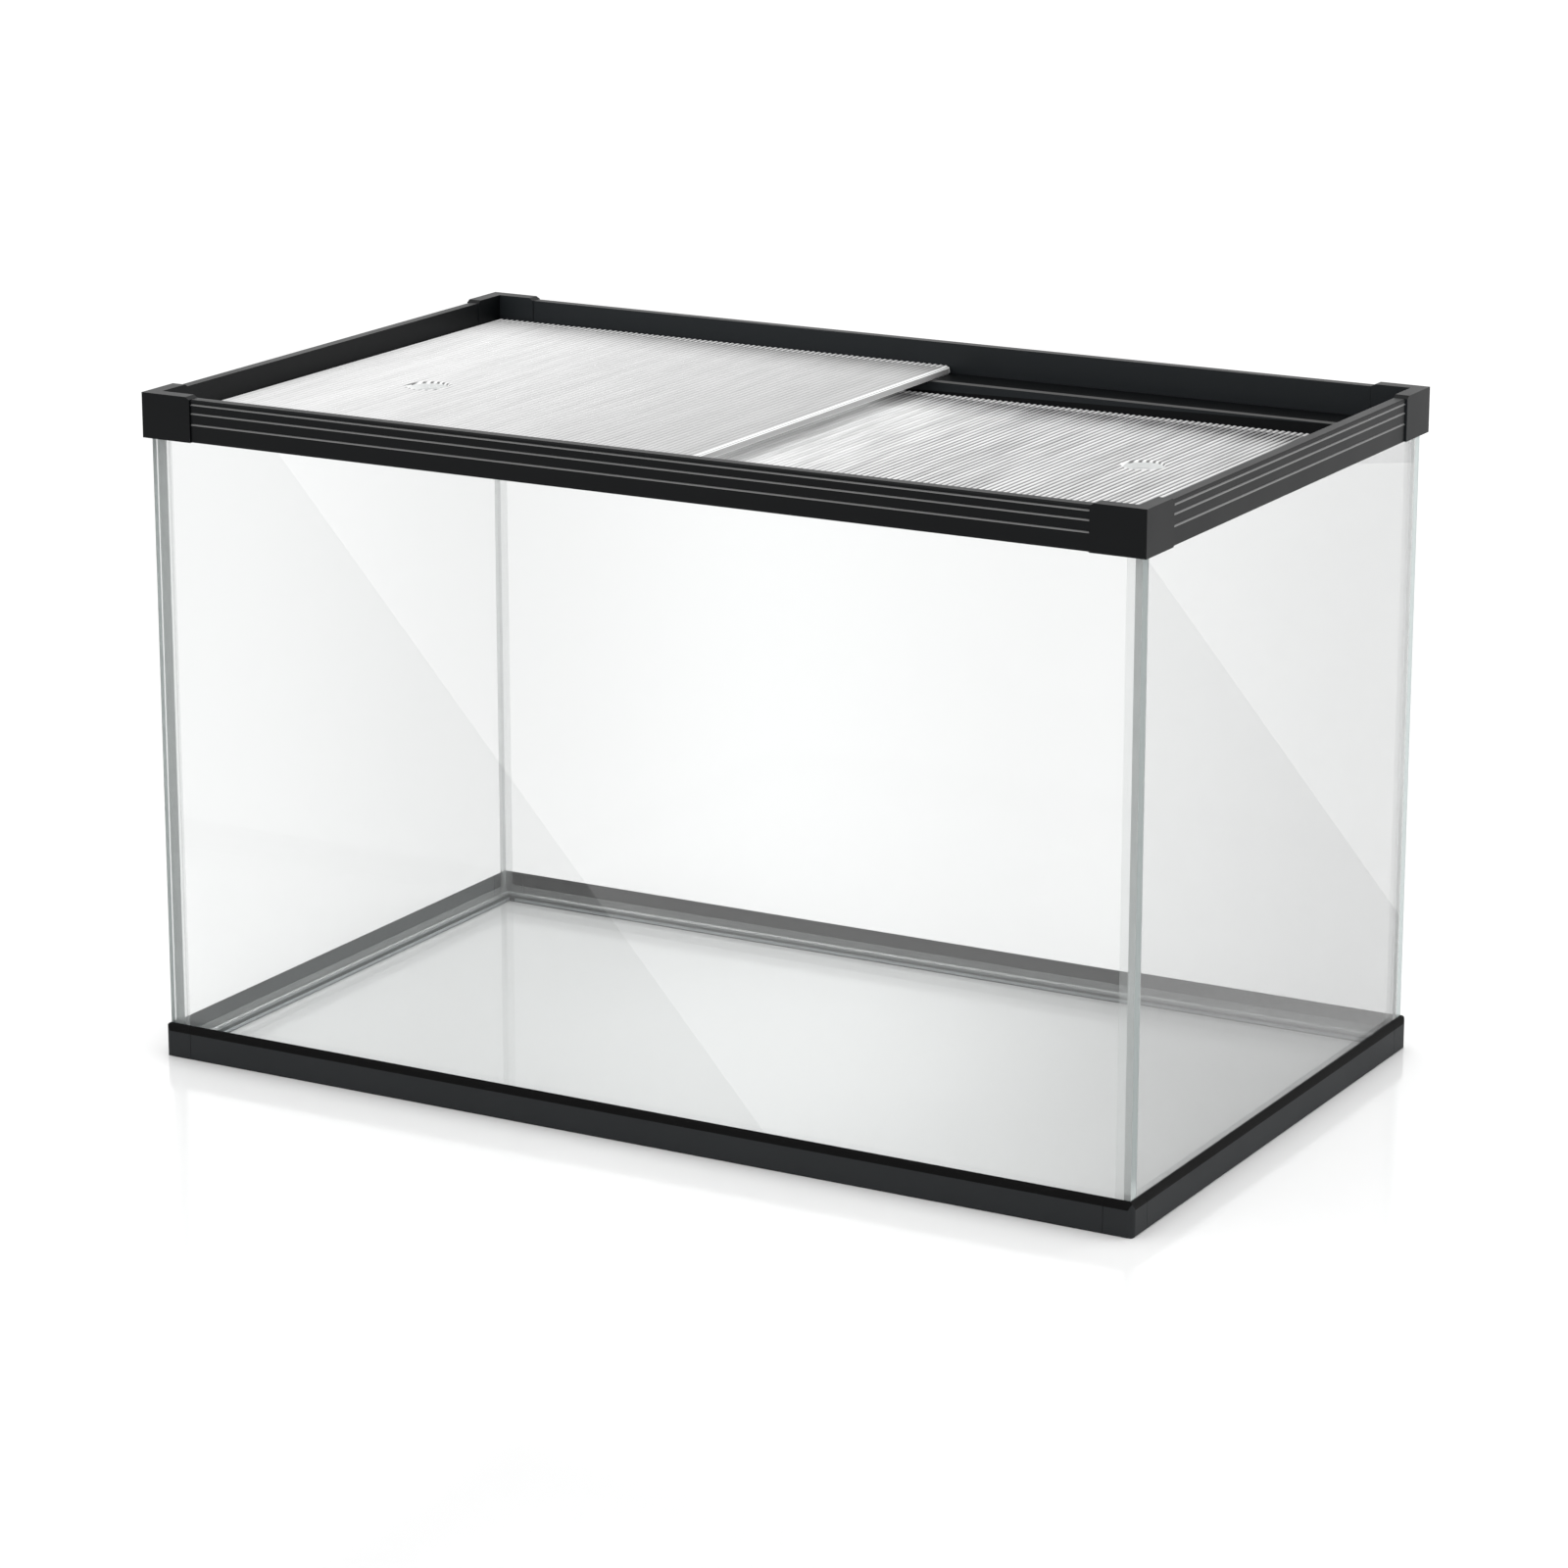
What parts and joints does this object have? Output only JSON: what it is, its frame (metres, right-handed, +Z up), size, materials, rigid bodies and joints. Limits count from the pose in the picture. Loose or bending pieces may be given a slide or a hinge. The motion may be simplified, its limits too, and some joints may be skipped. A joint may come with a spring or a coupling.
{
  "type": "aquarium tank",
  "caption": "Framed rectangular glass tank with plug-in corner connectors and reeded glass lids that slide past each other on a stepped track.",
  "frame": {"origin": "centre of the footprint, on the surface the base frame stands on", "axes": "+X along the long side, towards the lower lid; +Y from the front pane to the back pane; +Z up"},
  "size_m": [0.5, 0.296, 0.314],
  "materials": {
    "clear_glass": "polished float glass with pale green-grey edges",
    "reeded_glass": "reeded on the top face, with polished edges",
    "clear_silicone": "smooth translucent bead",
    "top_frame_plastic": "satin black extrusion with fine grooves",
    "base_frame_plastic": "satin black with a cool tint"
  },
  "bodies": {
    "tank": {"front_pane": "clear_glass", "back_pane": "clear_glass", "left_pane": "clear_glass", "right_pane": "clear_glass", "bottom_pane": "clear_glass", "corner_seal_front_left": "clear_silicone", "corner_seal_front_right": "clear_silicone", "corner_seal_back_left": "clear_silicone", "corner_seal_back_right": "clear_silicone", "bottom_seal": "clear_silicone", "top_rail_front": "top_frame_plastic", "top_rail_back": "top_frame_plastic", "top_rail_left": "top_frame_plastic", "top_rail_right": "top_frame_plastic", "top_corner_front_left": "top_frame_plastic", "top_corner_front_right": "top_frame_plastic", "top_corner_back_left": "top_frame_plastic", "top_corner_back_right": "top_frame_plastic", "base_rail_front": "base_frame_plastic", "base_rail_back": "base_frame_plastic", "base_rail_left": "base_frame_plastic", "base_rail_right": "base_frame_plastic", "base_corner_front_left": "base_frame_plastic", "base_corner_front_right": "base_frame_plastic", "base_corner_back_left": "base_frame_plastic", "base_corner_back_right": "base_frame_plastic"},
    "upper_slider": {"upper_lid": "reeded_glass"},
    "lower_slider": {"lower_lid": "reeded_glass"}
  },
  "joints": [
    {"name": "upper_lid_slide", "type": "slide", "parent": "tank", "child": "upper_slider", "axis": [1, 0, 0], "range_m": [0, 0.233]},
    {"name": "lower_lid_slide", "type": "slide", "parent": "tank", "child": "lower_slider", "axis": [-1, 0, 0], "range_m": [0, 0.2134]}
  ]
}
